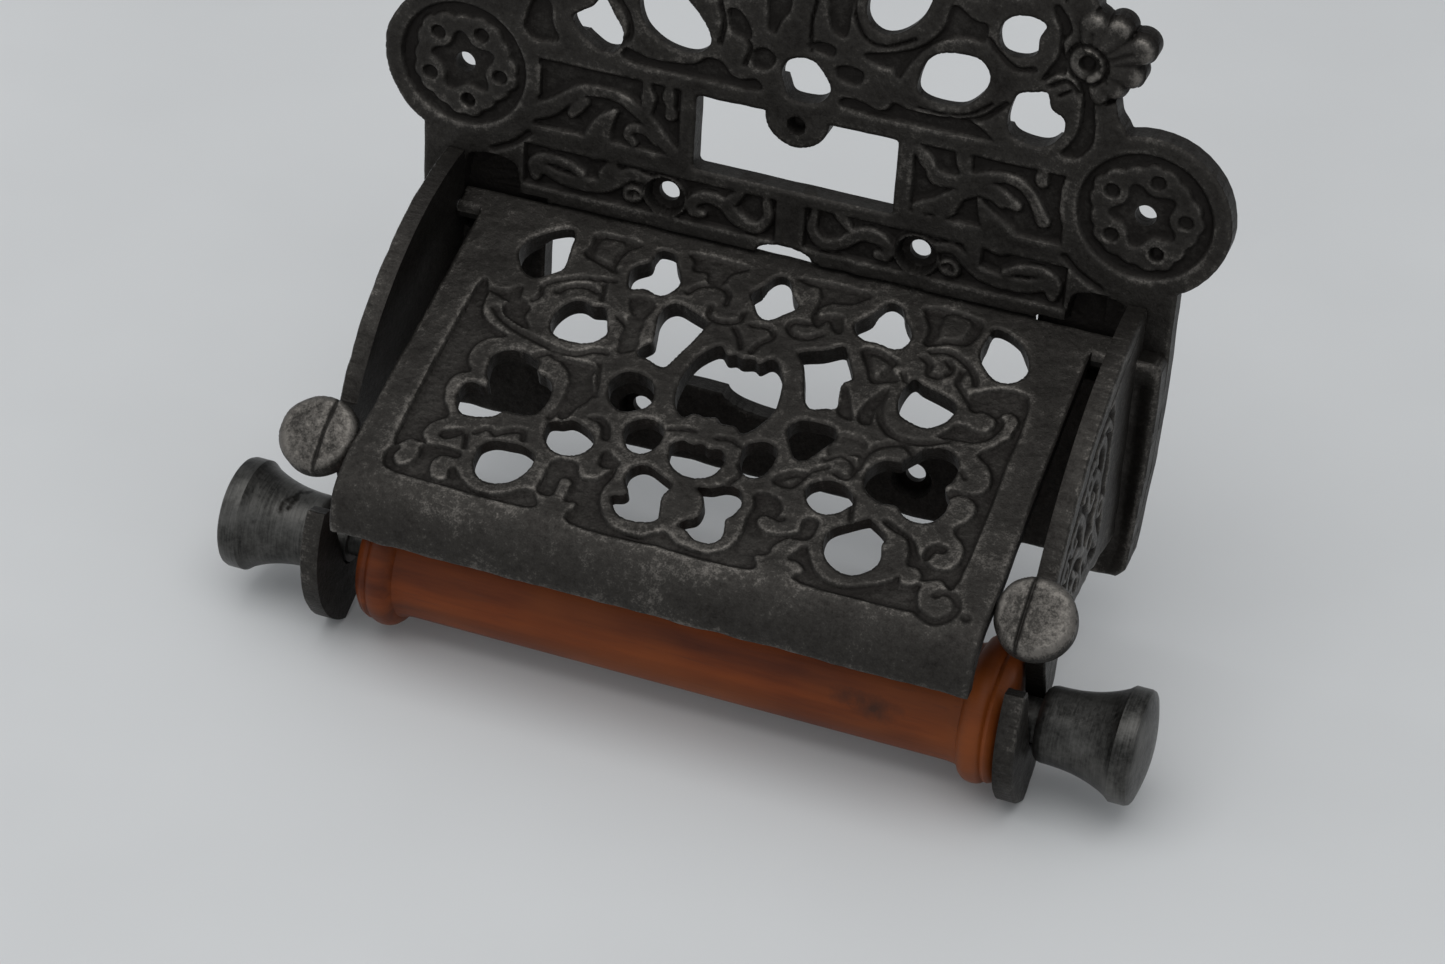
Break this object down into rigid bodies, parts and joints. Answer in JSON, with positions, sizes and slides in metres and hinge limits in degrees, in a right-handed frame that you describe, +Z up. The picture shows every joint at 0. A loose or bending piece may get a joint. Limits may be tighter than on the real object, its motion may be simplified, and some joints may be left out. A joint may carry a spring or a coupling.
{
  "type": "wall-mounted paper roll holder",
  "caption": "Cast-iron wall holder for a paper roll, with a pierced backplate, two bracket arms, a hinged openwork lid and a turned wooden roller with iron knobs.",
  "frame": {"origin": "on the wall face (the back of the backplate), midway between the two upper screw holes", "axes": "+X along the roller, +Y into the wall, +Z up; the front of the holder faces -Y"},
  "size_m": [0.1968, 0.0809, 0.1718],
  "materials": {
    "cast_iron": "sand-cast, dark waxed, worn bright on the edges",
    "knob_iron": "turned cast iron, fine tool marks",
    "steel": "plain dull steel",
    "wood": "oiled reddish-brown hardwood"
  },
  "bodies": {
    "bracket": {"backplate": "cast_iron", "arm_left": "cast_iron", "arm_right": "cast_iron", "arm_screws": "steel"},
    "lid": {"lid": "cast_iron", "hinge_pin_left": "steel", "hinge_pin_right": "steel"},
    "spindle": {"spindle": "steel", "knob_left": "knob_iron", "knob_right": "knob_iron"},
    "roller": {"roller": "wood"}
  },
  "joints": [
    {"name": "lid_hinge", "type": "hinge", "parent": "bracket", "child": "lid", "pos_m": [0, -0.0069, -0.0315], "axis": [-1, 0, 0], "range_deg": [0, 105]},
    {"name": "spindle_lift", "type": "slide", "parent": "bracket", "child": "spindle", "axis": [0, -0.3272, 0.9449], "range_m": [0, 0.012]},
    {"name": "roller_spin", "type": "hinge", "parent": "spindle", "child": "roller", "pos_m": [0, -0.059, -0.0835], "axis": [1, 0, 0], "continuous": true}
  ]
}
